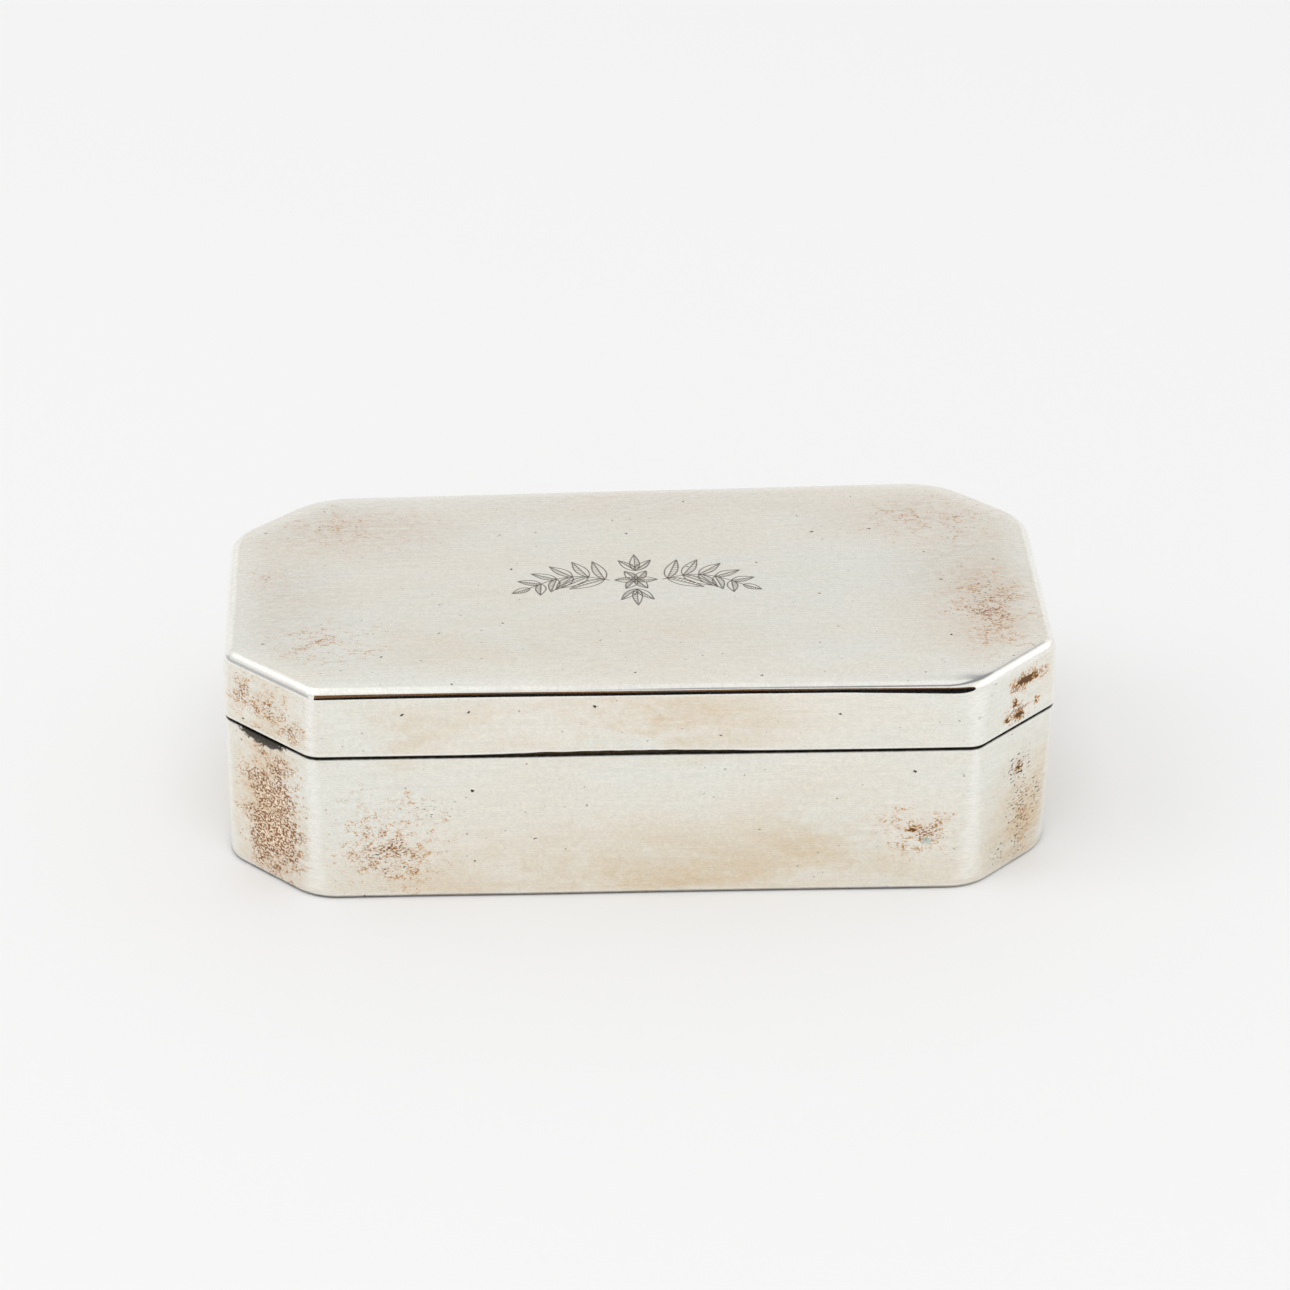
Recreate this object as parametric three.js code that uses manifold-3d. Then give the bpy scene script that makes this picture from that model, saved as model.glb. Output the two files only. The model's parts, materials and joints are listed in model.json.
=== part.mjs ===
// A silver box for snuff or keepsakes: oblong, with canted corners and a lid on a flush hinge along the back.
// Millimetres, +Z up. The origin is the middle of the underside, +X runs along the length and -Y is the front.
import * as THREE from "three";
import { mergeVertices } from "three/addons/utils/BufferGeometryUtils.js";
import Module from "manifold-3d";

// Outside of the box
const lidLength = 80; // along X, over the lid
const lidDepth = 42.4; // along Y, over the lid
const baseHeight = 15.4; // underside to the rim of the base
const seamGap = 0.3; // open line between the rims of the base and the shut lid
const lidHeight = 7.2; // rim of the lid to its top face
const cornerCant = 8.4; // taken off each corner along X and along Y
const cornerRadius = 3; // rounding of the eight upright edges of the lid
const sharpestCorner = 0.1; // rounding kept where an inner wall has used the radius up
const lidOverhang = 0.15; // how far the lid stands out past the base
const topEdgeRadius = 1.1; // rounding of the upper edge of the lid
const footEdgeRadius = 0.4; // rounding of the lower edge of the base

// Sheet
const wallThickness = 0.8; // base wall and lid rim
const basePlateThickness = 0.9;
const lidPlateThickness = 0.8;
const lidPlateSkirt = 1.7; // depth of the turned-down edge of the lid plate
const solderGap = 0.05; // left between upright faces that are soldered together

// Bezel inside the base wall, which the lid shuts over
const bezelThickness = 0.5;
const bezelStand = 1.6; // height above the rim of the base
const bezelLap = 3; // depth soldered to the wall
const bezelEndGap = 0.6; // between the ends of the bezel and the joint bearers

// Hinge
const openAngle = 95; // degrees from shut to the stop
const knuckleCount = 9; // odd, so that a base knuckle stands at both ends
const knuckleRadius = 1.3;
const knuckleGap = 0.12; // between the ends of neighbouring knuckles
const pinRadius = 0.55;
const pinFit = 0.05; // running clearance of the pin
const plugLength = 1.2; // least length of the plugs that hide the ends of the pin
const barrelFit = 0.1; // running clearance between the knuckles and what lies round them
const bearerThickness = 0.9; // metal of the joint bearers round the barrel

// Smoothness
const arcSteps = 3; // half the chords in each rounded corner of the plan
const edgeSteps = 5; // chords across a rounded edge
const barrelSides = 32;
const pinSides = 24;

const wasm = await Module();
wasm.setup();

const silver = new THREE.MeshStandardMaterial({
  name: "silver",
  color: 0xddd6c8,
  roughness: 0.26,
  metalness: 1,
});
const giltSilver = new THREE.MeshStandardMaterial({
  name: "gilt_silver",
  color: 0xcfae72,
  roughness: 0.32,
  metalness: 1,
});
const steel = new THREE.MeshStandardMaterial({
  name: "steel",
  color: 0x8c8a86,
  roughness: 0.4,
  metalness: 1,
});

// Levels and lines that several pieces share
const lidLow = baseHeight + seamGap;
const boxHeight = lidLow + lidHeight;
const lidPlateLow = boxHeight - lidPlateSkirt;
const baseInner = lidOverhang + wallThickness;
const hingeY = lidDepth / 2 - lidOverhang - knuckleRadius;
const hingeZ = baseHeight + seamGap / 2;
const hingeHalf = lidLength / 2 - cornerCant;
const barrelRoom = knuckleRadius + barrelFit;
const bearerReach = barrelRoom + bearerThickness;

// A closed geometry as a solid that can be joined and cut.
function solidOf(geometry) {
  const bare = geometry.clone();
  bare.deleteAttribute("normal");
  bare.deleteAttribute("uv");
  const merged = mergeVertices(bare);
  return new wasm.Manifold(
    new wasm.Mesh({
      numProp: 3,
      vertProperties: merged.attributes.position.array,
      triVerts: new Uint32Array(merged.index.array),
    }),
  );
}

function geometryOf(solid) {
  const mesh = solid.getMesh();
  const welded = new THREE.BufferGeometry();
  welded.setAttribute("position", new THREE.BufferAttribute(mesh.vertProperties, 3));
  welded.setIndex(new THREE.BufferAttribute(mesh.triVerts, 1));
  const faceted = welded.toNonIndexed();
  faceted.computeVertexNormals();
  return faceted;
}

function piece(name, solid, material) {
  const mesh = new THREE.Mesh(geometryOf(solid), material);
  mesh.name = name;
  return mesh;
}

// The plan of the lid drawn in by an inset: an oblong with its corners canted at 45 degrees, each turn rounded.
function plan(inset) {
  const eighthTurn = Math.PI / 4;
  const radius = Math.max(cornerRadius - inset, sharpestCorner);
  const centreInset = inset + radius;
  const farX = lidLength / 2 - centreInset;
  const farY = lidDepth / 2 - centreInset;
  const cant = cornerCant - centreInset * (1 - Math.tan(eighthTurn / 2));
  const shape = new THREE.Shape();
  for (let corner = 0; corner < 8; corner += 1) {
    const facing = (corner + 0.5) * eighthTurn;
    const onSide = Math.abs(Math.cos(facing)) > Math.abs(Math.sin(facing));
    const x = Math.sign(Math.cos(facing)) * (onSide ? farX : farX - cant);
    const y = Math.sign(Math.sin(facing)) * (onSide ? farY - cant : farY);
    shape.absarc(x, y, radius, corner * eighthTurn, (corner + 1) * eighthTurn, false);
  }
  return shape;
}

// An upright block of the plan.
function block(inset, low, high) {
  const options = { depth: high - low, bevelEnabled: false, curveSegments: arcSteps };
  return solidOf(new THREE.ExtrudeGeometry(plan(inset), options).translate(0, 0, low));
}

// An upright band between two insets of the plan.
function band(outerInset, innerInset, low, high) {
  const shape = plan(outerInset);
  shape.holes.push(plan(innerInset));
  const options = { depth: high - low, bevelEnabled: false, curveSegments: arcSteps };
  return solidOf(new THREE.ExtrudeGeometry(shape, options).translate(0, 0, low));
}

// A solid through rings of the plan, each at its own height and inset, listed from the bottom up.
function loft(levels) {
  const rings = levels.map(({ inset, z }) =>
    plan(inset)
      .getPoints(arcSteps)
      .map((point) => [point.x, point.y, z]),
  );
  const size = rings[0].length;
  const positions = rings.flat(2);
  const index = [];
  for (let ring = 0; ring + 1 < rings.length; ring += 1) {
    for (let step = 0; step < size; step += 1) {
      const a = ring * size + step;
      const b = ring * size + ((step + 1) % size);
      index.push(a, b, b + size, a, b + size, a + size);
    }
  }
  const last = (rings.length - 1) * size;
  for (let step = 1; step + 1 < size; step += 1) {
    index.push(0, step + 1, step);
    index.push(last, last + step, last + step + 1);
  }
  const geometry = new THREE.BufferGeometry();
  geometry.setAttribute("position", new THREE.Float32BufferAttribute(positions, 3));
  geometry.setIndex(index);
  return solidOf(geometry);
}

// Levels up a rounded upper edge that ends at the height top.
function roundedTop(inset, top, radius) {
  const levels = [];
  for (let step = 0; step <= edgeSteps; step += 1) {
    const turn = (step / edgeSteps) * (Math.PI / 2);
    levels.push({
      inset: inset + radius * (1 - Math.cos(turn)),
      z: top - radius * (1 - Math.sin(turn)),
    });
  }
  return levels;
}

// A rod along X between two stations, on the axis of the hinge.
function rod(radius, sides, from, to) {
  const geometry = new THREE.CylinderGeometry(radius, radius, to - from, sides);
  geometry.rotateZ(Math.PI / 2);
  geometry.translate((from + to) / 2, hingeY, hingeZ);
  return solidOf(geometry);
}

// A box between two heights that runs from one Y to another over the whole length.
function bar(fromY, toY, low, high) {
  const geometry = new THREE.BoxGeometry(lidLength, toY - fromY, high - low);
  geometry.translate(0, (fromY + toY) / 2, (low + high) / 2);
  return solidOf(geometry);
}

const barrelCut = rod(barrelRoom, barrelSides, -lidLength / 2, lidLength / 2);

// Room behind the axis in which the walls would meet before the lid is fully open.
function hingeCut() {
  const half = Math.tan(THREE.MathUtils.degToRad(openAngle / 2));
  const room = (knuckleRadius + lidOverhang) * half + barrelFit;
  return bar(hingeY, lidDepth / 2 + wallThickness, hingeZ - room, hingeZ + room).add(barrelCut);
}

function basePlate() {
  const radius = Math.min(footEdgeRadius, basePlateThickness);
  const foot = roundedTop(lidOverhang, basePlateThickness, radius)
    .map(({ inset, z }) => ({ inset, z: basePlateThickness - z }))
    .reverse();
  return loft([...foot, { inset: lidOverhang, z: basePlateThickness }]);
}

function baseWall() {
  return band(lidOverhang, baseInner, basePlateThickness, baseHeight).subtract(hingeCut());
}

function bezel() {
  const outer = baseInner + solderGap;
  const strip = band(outer, outer + bezelThickness, baseHeight - bezelLap, baseHeight + bezelStand);
  const backGap = bar(hingeY - bearerReach - bezelEndGap, lidDepth / 2, 0, boxHeight);
  return strip.subtract(backGap);
}

function lidPlate() {
  const outside = loft([{ inset: 0, z: lidPlateLow }, ...roundedTop(0, boxHeight, topEdgeRadius)]);
  const innerRadius = Math.max(topEdgeRadius - wallThickness, sharpestCorner);
  const inside = loft([
    { inset: wallThickness, z: lidLow },
    ...roundedTop(wallThickness, boxHeight - lidPlateThickness, innerRadius),
  ]);
  return outside.subtract(inside);
}

function lidRim() {
  return band(0, wallThickness, lidLow, lidPlateLow).subtract(hingeCut());
}

// The strip with a hollowed seat that carries one set of knuckles, fitted inside a wall.
function jointBearer(wallInset, low, high) {
  const strip = bar(hingeY - bearerReach, lidDepth / 2, low, high).subtract(barrelCut);
  return strip.intersect(block(wallInset + solderGap, low, high));
}

// A tube of the barrel. The end ones run on to the cants and are dressed flush with them.
function knuckle(number) {
  const pitch = (2 * hingeHalf) / knuckleCount;
  const atStart = number === 0;
  const atEnd = number === knuckleCount - 1;
  const from = atStart ? -lidLength / 2 : number * pitch - hingeHalf + knuckleGap / 2;
  const to = atEnd ? lidLength / 2 : (number + 1) * pitch - hingeHalf - knuckleGap / 2;
  const bore = rod(pinRadius + pinFit, pinSides, -lidLength, lidLength);
  const tube = rod(knuckleRadius, barrelSides, from, to).subtract(bore);
  return tube.intersect(block(lidOverhang, 0, boxHeight));
}

const pinHalf = hingeHalf - plugLength;

function pinPlug(side) {
  const inner = side * (pinHalf + knuckleGap);
  const outer = (side * lidLength) / 2;
  const plug = rod(pinRadius, pinSides, Math.min(inner, outer), Math.max(inner, outer));
  return plug.intersect(block(lidOverhang, 0, boxHeight));
}

const base = new THREE.Group();
base.name = "base";
base.add(piece("base_plate", basePlate(), silver));
base.add(piece("base_wall", baseWall(), silver));
base.add(piece("base_bezel", bezel(), giltSilver));
base.add(piece("base_joint_bearer", jointBearer(baseInner, hingeZ - bearerReach, baseHeight), silver));
base.add(piece("hinge_pin", rod(pinRadius, pinSides, -pinHalf, pinHalf), steel));
base.add(piece("pin_plug_left", pinPlug(-1), silver));
base.add(piece("pin_plug_right", pinPlug(1), silver));

// The lid hangs from the axis of the hinge, so turning the group about X swings it.
const lid = new THREE.Group();
lid.name = "lid";
lid.position.set(0, hingeY, hingeZ);
lid.add(piece("lid_plate", lidPlate(), silver));
lid.add(piece("lid_rim", lidRim(), silver));
lid.add(piece("lid_joint_bearer", jointBearer(wallThickness, lidLow, hingeZ + bearerReach), silver));

for (let number = 0; number < knuckleCount; number += 1) {
  const leaf = number % 2 === 0 ? base : lid;
  const count = Math.floor(number / 2) + 1;
  leaf.add(piece(`${leaf.name}_knuckle_${count}`, knuckle(number), silver));
}
for (const mesh of lid.children) {
  mesh.position.set(0, -hingeY, -hingeZ);
}

const box = new THREE.Group();
box.name = "lidded_box";
box.add(base, lid);

export default box;
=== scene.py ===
import json
import math

import bpy
import numpy as np
from mathutils import Matrix, Vector


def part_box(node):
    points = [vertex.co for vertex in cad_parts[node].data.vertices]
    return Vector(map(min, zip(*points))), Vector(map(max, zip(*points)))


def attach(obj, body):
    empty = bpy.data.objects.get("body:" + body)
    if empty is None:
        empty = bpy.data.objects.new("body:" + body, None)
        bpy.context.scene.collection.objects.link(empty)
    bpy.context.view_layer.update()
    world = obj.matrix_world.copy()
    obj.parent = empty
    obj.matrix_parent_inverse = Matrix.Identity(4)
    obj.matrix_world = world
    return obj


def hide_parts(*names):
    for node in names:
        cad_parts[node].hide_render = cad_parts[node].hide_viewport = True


# A worn silver box with canted corners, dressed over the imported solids. Metres, +Z up, front at -Y.
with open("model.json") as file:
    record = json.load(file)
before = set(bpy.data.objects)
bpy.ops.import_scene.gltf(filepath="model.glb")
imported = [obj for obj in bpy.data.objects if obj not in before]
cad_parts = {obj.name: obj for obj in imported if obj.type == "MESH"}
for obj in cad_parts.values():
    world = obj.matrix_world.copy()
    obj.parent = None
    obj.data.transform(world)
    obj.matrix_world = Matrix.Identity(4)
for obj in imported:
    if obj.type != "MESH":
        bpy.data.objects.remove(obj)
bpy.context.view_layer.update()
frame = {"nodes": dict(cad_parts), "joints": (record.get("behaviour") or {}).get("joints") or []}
mm = 0.001
eighth, quarter = math.pi / 4, math.pi / 2
scene = bpy.context.scene
scene.view_settings.view_transform = "Standard"

# Levels and lines taken from the solids
plateLow, plateHigh = np.array(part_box("lid_plate"))
wallLow, wallHigh = np.array(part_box("base_wall"))
bezelLow, bezelHigh = np.array(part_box("base_bezel"))
barrelLow, barrelHigh = np.array(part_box("lid_knuckle_1"))
lidLow, lidTop = np.array(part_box("lid_rim"))[0, 2], plateHigh[2]
floorLevel = np.array(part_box("base_plate"))[1, 2]
lidHalf = plateHigh[:2]
lidHinge = frame["joints"][0]
axisY, axisZ = lidHinge["pos_m"][1:]
barrelRadius = (barrelHigh[2] - barrelLow[2]) / 2
overhang = plateHigh[0] - wallHigh[0]


# Plan of the box

planShape = {
    "cant": 8.4 * mm,  # taken off each corner along X and Y
    "sheet": 0.8 * mm,
    "sharpest": 0.12 * mm,
    "closest": 0.02 * mm,  # least distance counted to an edge
    "blend": 6.0,  # power by which the distances to the edges are blended
    # rounding of the eight upright edges at four levels,
    # anticlockwise from the right end of the back right cant
    "levels": np.array([0, 4, 15.5, 22.9]) * mm,
    "radii": np.array([
        [5, 5, 5, 5, 5, 6, 6, 8],
        [3.5, 3.5, 3.5, 3.5, 3, 3.5, 4, 5],
        [4, 4.5, 4.5, 3.5, 2.2, 2.4, 2, 2.2],
        [7, 9, 9, 6, 2.4, 2.2, 7, 3],
    ]) * mm,
}
shrink = 1 - math.tan(eighth / 2)  # how fast a cant's leg shortens as the plan is drawn in


# Radius of an upright edge at a height, straight from level to level
def cornerRadius(corner, z):
    levels, radii = planShape["levels"], planShape["radii"]
    radius = radii[0][corner] + 0 * z
    for n in range(len(levels) - 1):
        share = np.clip((z - levels[n]) / (levels[n + 1] - levels[n]), 0, 1)
        radius = radius + (radii[n + 1] - radii[n])[corner] * share
    return radius


# One rounded corner of the plan: a circle point about a centre
# that lies inset + radius inside both its sides
def cornerPoint(corner, inset, z, angle):
    radius = np.maximum(cornerRadius(corner, z) - inset, planShape["sharpest"])
    depth = inset + radius
    leg = planShape["cant"] - depth * shrink
    facing = (corner + 0.5) * eighth
    onSide = np.abs(np.cos(facing)) > np.abs(np.sin(facing))
    x = np.sign(np.cos(facing)) * (lidHalf[0] - depth - np.where(onSide, 0, leg))
    y = np.sign(np.sin(facing)) * (lidHalf[1] - depth - np.where(onSide, leg, 0))
    return np.stack([x + radius * np.cos(angle), y + radius * np.sin(angle)], -1)


# Point on the plan drawn in by inset: on a corner's arc,
# or a share of the way along the side to the next corner
def planPoint(inset, z, track):
    here = cornerPoint(track["corner"], inset, z, track["angle"])
    there = cornerPoint((track["corner"] + 1) % 8, inset, z, track["angle"])
    return here + (there - here) * track["along"][:, None]


# Stations round the plan, anticlockwise from the middle of the front right cant,
# with steps for a long side, an end, a cant and an upright edge
def makeTrack(longSteps, sideSteps, cantSteps, arcSteps):
    parts = {"corner": [], "along": [], "angle": []}

    def run(k, shares, angles):
        for key, values in zip(parts, (np.full(len(shares), k), shares, angles)):
            parts[key].append(values)

    half = cantSteps // 2
    for k in (7, 0, 1, 2, 3, 4, 5, 6):
        if k % 2:
            run(k - 1, np.linspace(0.5, 1, half, endpoint=False), np.full(half, k * eighth))
        run(k, np.zeros(arcSteps), np.linspace(k, k + 1, arcSteps, endpoint=False) * eighth)
        steps = (longSteps if k in (1, 5) else sideSteps) if k % 2 else half
        shares = np.linspace(0, 1 if k % 2 else 0.5, steps, endpoint=False)
        run(k, shares, np.full(steps, (k + 1) * eighth))
    track = {key: np.concatenate(values) for key, values in parts.items()}
    track["wear"] = np.sin(math.pi * track["angle"] / eighth) ** 2  # 1 on the middle of each upright edge
    track["longRun"] = longSteps + cantSteps + 2 * arcSteps
    track["sideRun"] = sideSteps + cantSteps + 2 * arcSteps
    # length of sheet travelled round the walls in millimetres, joined at the middle of the back
    plan = planPoint(0.0, lidLow, track)
    track["step"] = np.hypot(*(np.roll(plan, -1, 0) - plan).T) / mm
    travelled = np.append(0, np.cumsum(track["step"]))
    join = int(np.argmin(np.hypot(plan[:, 0], plan[:, 1] - lidHalf[1])))
    track["run"] = (travelled[:-1] - travelled[join]) % travelled[-1]
    return track


# Distance from a plan point to the eight sides, blended so that it has no creases at the corners
def edgeDistance(x, y):
    turns = np.arange(8) * eighth
    straight = np.where(np.arange(8) % 4 == 0, lidHalf[0], lidHalf[1])
    slanted = (lidHalf.sum() - planShape["cant"]) / math.sqrt(2)
    reach = np.where(np.arange(8) % 2 == 0, straight, slanted)
    gaps = reach - (x[..., None] * np.cos(turns) + y[..., None] * np.sin(turns))
    power = planShape["blend"]
    return (np.maximum(gaps, planShape["closest"]) ** -power).sum(-1) ** (-1 / power)


# Plan points at a height or heights
def raised(plan, z):
    return np.concatenate([plan, np.broadcast_to(z, plan.shape[:-1])[..., None]], -1)


# The stations of a track that are chosen
def partOf(track, chosen):
    return {key: track[key][chosen] for key in ("corner", "along", "angle")}


# Meshes from arrays

creaseAngle = math.radians(35)  # edges that turn more than this stay hard


# Numbers 0, 1, 2 and so on in a grid
def numbered(shape):
    return np.arange(math.prod(shape)).reshape(shape)


# Quads between the rows of an index grid; columns close into a ring, rows too where asked
def ringQuads(index, closeRows=False, closeColumns=True):
    rows = np.vstack([index, index[:1]]) if closeRows else index
    grid = np.hstack([rows, rows[:, :1]]) if closeColumns else rows
    return np.stack([grid[:-1, :-1], grid[:-1, 1:], grid[1:, 1:], grid[1:, :-1]], -1).reshape(-1, 4)


# Triangles from one point to a ring
def fan(middle, ring, facesDown):
    ends = [np.roll(ring, -1), ring] if facesDown else [ring, np.roll(ring, -1)]
    return np.stack([np.full(len(ring), middle)] + ends, -1)


# Millimetres along and up the sheet for the corners of a band's quads
def bandSheet(track, z):
    near = np.broadcast_to(track["run"], z.shape)
    far = near + track["step"]
    up = z / mm
    upFar = np.roll(up, -1, 1)
    corners = [(near[:-1], up[:-1]), (far[:-1], upFar[:-1]), (far[1:], upFar[1:]), (near[1:], up[1:])]
    return np.stack([np.stack(pair, -1) for pair in corners], -2).reshape(-1, 4, 2)


def putInScene(name, data):
    made = bpy.data.objects.new(name, data)
    scene.collection.objects.link(made)
    return made


# Makes a piece that rides a body in place of a node. Each item of faces has corners, a material number and,
# where the plan in millimetres won't do, sheet positions. Attributes are for each point or each row.
def makePiece(name, body, node, points, faces, materials, attributes):
    points = points.reshape(-1, 3)
    mesh = bpy.data.meshes.new(name)
    corners = [face for item in faces for face in item[0].tolist()]
    mesh.from_pydata(points.tolist(), [], corners, shade_flat=False)
    for material in materials:
        mesh.materials.append(material)
    numbers = np.concatenate([np.full(len(item[0]), item[1], np.int32) for item in faces])
    mesh.polygons.foreach_set("material_index", numbers)
    mesh.set_sharp_from_angle(angle=creaseAngle)
    sheet = [item[2] if len(item) > 2 else points[item[0]][..., :2] / mm for item in faces]
    flat = np.concatenate([part.reshape(-1, 2) for part in sheet]).astype(np.float32)
    mesh.uv_layers.new(name="sheet").data.foreach_set("uv", flat.ravel())
    for key, values in attributes.items():
        each = np.repeat(np.asarray(values, np.float32), len(points) // len(values))
        mesh.attributes.new(key, "FLOAT", "POINT").data.foreach_set("value", each)
    piece = putInScene(name, mesh)
    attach(piece, body)
    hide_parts(node)


# Marks of hand work and use on the shape

handWork = {
    "wave": 0.02 * mm,  # how far the walls wander
    "twist": 0.8 * mm,  # the back right of the lid stands up and the back left hangs
    "twistLine": 0.2,  # share of the depth from the front where the twist is nothing
    "flare": 0.24 * mm,  # the lip of the lid stands out past its top edge
    "uprightWearAndSheen": 0.75,  # how bright the upright edges are rubbed, partly wear and partly a painted highlight
}


# Slow in and out of the walls: a sum of three sine waves along X, Y and Z
def wander(x, y, z):
    long = np.sin(x / (5.1 * mm) + 1.7 * np.sin(z / (6.0 * mm)))
    slanting = np.sin(y / (4.3 * mm) - x / (11.0 * mm) + 0.6)
    short = np.sin(x / (2.9 * mm) + z / (2.3 * mm) + 2.0)
    return handWork["wave"] * (long + 0.8 * slanting + 0.45 * short)


# Share of the height of the lid
def upLid(z):
    return np.clip((z - lidLow) / (lidTop - lidLow), 0, 1)


# The lid is racked: its top turns about the length of the box towards the back
def rack(points):
    x, y, z = points[..., 0], points[..., 1], points[..., 2]
    back = (y + lidHalf[1]) / (2 * lidHalf[1])
    points[..., 2] = z + handWork["twist"] * x / lidHalf[0] * (back - handWork["twistLine"]) * upLid(z)
    return points


# Wear of the rows of a band, with the upright edges rubbed bright on the rows named; the bright colour is
# partly a painted highlight
def rubbed(edge, rows, track):
    worn = np.repeat(np.array(edge, float)[:, None], len(track["wear"]), 1)
    worn[rows] = np.maximum(worn[rows], handWork["uprightWearAndSheen"] * track["wear"])
    return worn.ravel()


# How far the flare draws in the plan at a height on the lid
def flareInset(z):
    return handWork["flare"] * upLid(z)


# Materials

bench = {}  # the node tree in hand


def put(kind, sockets=None, **settings):
    made = bench["tree"].nodes.new("ShaderNode" + kind)
    for key, value in settings.items():
        setattr(made, key, value)
    for key, value in (sockets or {}).items():
        if isinstance(value, bpy.types.NodeSocket):
            bench["tree"].links.new(value, made.inputs[key])
        else:
            made.inputs[key].default_value = value
    return made


def calc(operation, first, second=0.0, clamp=False):
    return put("Math", {0: first, 1: second}, operation=operation, use_clamp=clamp).outputs[0]


def times(first, *others):
    for other in others:
        first = calc("MULTIPLY", first, other)
    return first


def plus(first, *others):
    for other in others:
        first = calc("ADD", first, other)
    return first


def larger(first, second):
    return calc("MAXIMUM", first, second)


def blendColour(share, first, second, mode="MIX"):
    sockets = {0: share, 6: first, 7: second}
    return put("Mix", sockets, data_type="RGBA", blend_type=mode).outputs[2]


# Colours of a look laid over a first one in order, each with the share that it covers
def layered(look, colour, **layers):
    for over, share in layers.items():
        colour = blendColour(share, colour, look[over])
    return colour


# Eases from one value to another while the input goes from low to high
def ramp(value, low, high, toLow=0.0, toHigh=1.0):
    sockets = {"Value": value, "From Min": low, "From Max": high, "To Min": toLow, "To Max": toHigh}
    return put("MapRange", sockets, interpolation_type="SMOOTHSTEP").outputs[0]


def stretched(place, scale):
    return put("Mapping", {"Vector": place, "Scale": scale}).outputs[0]


def axesOf(place):
    return put("SeparateXYZ", {"Vector": place}).outputs


# A noise with lumps per millimetre, one number or three that stretch it
def noise(place, lumps, detail, rough, warp=0.0):
    if isinstance(lumps, tuple):
        place, lumps = stretched(place, lumps), 1.0
    sockets = {"Vector": place, "Scale": lumps, "Detail": detail, "Roughness": rough, "Distortion": warp}
    return put("TexNoise", sockets).outputs[0]


def mark(name):
    return put("Attribute", attribute_name=name).outputs["Fac"]


# Soft patches: 1 at each centre, 0 at its radii, the strongest kept where they meet
def patches(place, spots):
    total = None
    for *ellipsoid, strength in spots:
        centre, radii = ellipsoid[:3], ellipsoid[3:]
        sockets = {"Vector": place, "Location": centre, "Scale": radii}
        local = put("Mapping", sockets, vector_type="TEXTURE").outputs[0]
        bell = put("TexGradient", {"Vector": local}, gradient_type="SPHERICAL").outputs[1]
        weight = times(bell, strength)
        total = weight if total is None else larger(total, weight)
    return total


# The sheet shaken by a noise, so that marks laid on it are uneven
def shaken(sheet, lumps, amount):
    stirred = put("TexNoise", {"Vector": sheet, "Scale": lumps, "Detail": 2.0}).outputs["Color"]
    centred = put("VectorMath", {0: stirred, 1: (0.5, 0.5, 0.5)}, operation="SUBTRACT").outputs[0]
    offset = put("VectorMath", {0: centred, "Scale": amount}, operation="SCALE").outputs[0]
    return put("VectorMath", {0: sheet, 1: offset}, operation="ADD").outputs[0]


# Small round marks: one in each cell of a shaken grid, kept in a share of the cells
def specks(sheet, cell, keep, size):
    cells = stretched(sheet, (1 / cell[0], 1 / cell[1], 1))
    dots = put("TexVoronoi", {"Vector": cells, "Scale": 1.0}, voronoi_dimensions="2D").outputs
    chance = put("SeparateColor", {"Color": dots["Color"]}).outputs[0]
    radius = ramp(chance, 1 - keep, 1.0, 0.0, size)
    softRim = 0.35 * size
    return ramp(calc("SUBTRACT", radius, dots["Distance"]), 0.0, softRim)


# Starts a metal: an empty tree, and the place on the box in millimetres
def startMetal(name):
    material = bpy.data.materials.new(name)
    material.use_nodes = True
    bench["tree"] = material.node_tree
    bench["tree"].nodes.clear()
    return material, stretched(put("TexCoord").outputs["Object"], (1 / mm, 1 / mm, 1 / mm))


# Ends it: colour, roughness and any relief joined to its shader
def endMetal(colour, rough, relief=None, strength=0.3, depth=0.02 * mm):
    sockets = {"Metallic": 1.0, "Base Color": colour, "Roughness": rough}
    if relief is not None:
        bumps = {"Height": relief, "Strength": strength, "Distance": depth}
        sockets["Normal"] = put("Bump", bumps).outputs[0]
    shader = put("BsdfPrincipled", sockets)
    put("OutputMaterial", {"Surface": shader.outputs[0]})


# Where the silver is eaten: centre, radii and strength in millimetres on the box
eatenSpots = [
    (-35.6, -17.2, 6.6, 6.4, 6.4, 12, 1.9),  # front left cant of the base
    (-35.7, -17.1, 18.2, 8.2, 8.2, 7, 0.8),  # and of the lid
    (-38.2, -14.6, 19.4, 3.6, 3.6, 3.6, 0.95),
    (-33.6, -19.2, 17.2, 4.4, 4.4, 3.6, 0.9),
    (-24.3, -21, 5.8, 8, 2.5, 9, 0.95),  # left of the front
    (25.9, -21, 6.6, 5.4, 2.5, 4.4, 1.05),  # right of the front
    (36.8, -16, 20.1, 4.2, 4.2, 1.5, 1.7),  # front right cant of the lid
    (36, -16.8, 17.2, 3.6, 3.6, 2.8, 0.95),
    (36.4, -16.4, 10.6, 2.2, 2.2, 2.8, 0.6),  # front right cant of the base
    (37.2, -15.6, 5, 3.2, 3.2, 8, 0.7),
    (34.4, -7.4, 22.9, 8.5, 12.5, 4, 0.86),  # top, right
    (30.5, 11.5, 22.9, 12, 9, 4, 0.66),
    (-29, 13, 22.9, 14, 10, 4, 0.52),  # top, left
    (-36, 3, 22.9, 4.5, 9, 4, 0.45),
    (-29.8, -11.4, 22.9, 9.5, 7, 4, 0.8),
    (36, 16.5, 8, 4, 4, 8, 1.1),  # back cants
    (-36, 16.8, 5, 4, 4, 6, 1),
    (12, 21, 5, 11, 2.5, 6, 0.75),  # back
    (-39.8, 4, 9, 2.5, 8, 6, 0.7),  # ends
    (39.8, -3, 6, 2.5, 9, 6, 0.75),
]
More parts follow.
